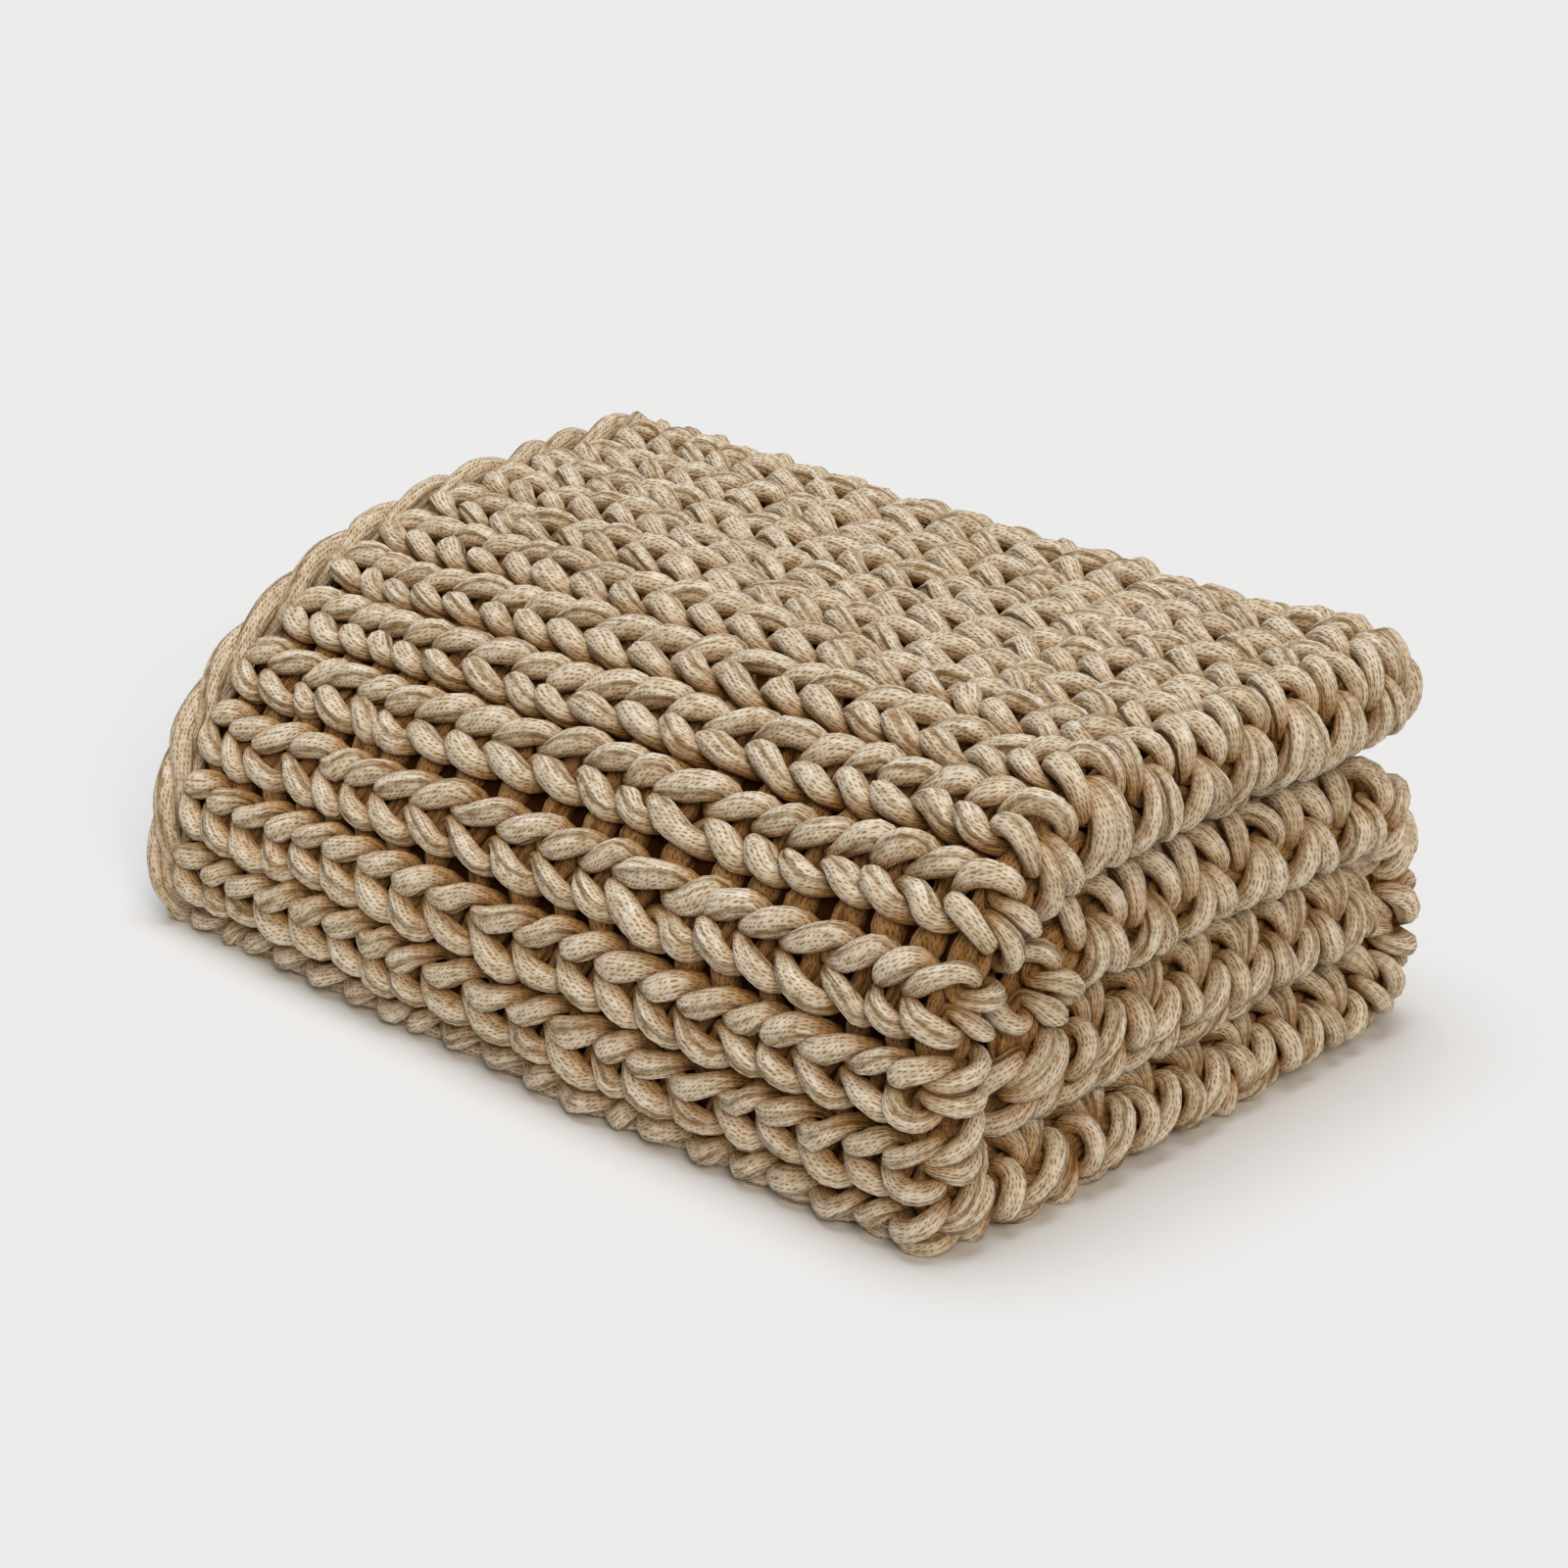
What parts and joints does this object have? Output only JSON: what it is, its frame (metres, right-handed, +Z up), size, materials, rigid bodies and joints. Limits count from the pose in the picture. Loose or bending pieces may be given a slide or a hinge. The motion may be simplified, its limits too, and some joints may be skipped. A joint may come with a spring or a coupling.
{
  "type": "folded chunky knit throw",
  "caption": "Chunky knit throw blanket of thick tan cotton tube yarn, doubled and rolled flat into a soft rectangular pile with rounded folds along its front and right end.",
  "frame": {"origin": "centre of the pile's footprint, on the surface it lies on", "axes": "+X along the ribs of the knitting towards the rounded fold ends, -Y towards the rolled front, +Z up"},
  "size_m": [0.515, 0.328, 0.1776],
  "materials": {
    "cotton_tube_yarn": "matte"
  },
  "bodies": {
    "root": {"knit_throw": "cotton_tube_yarn"}
  },
  "joints": []
}
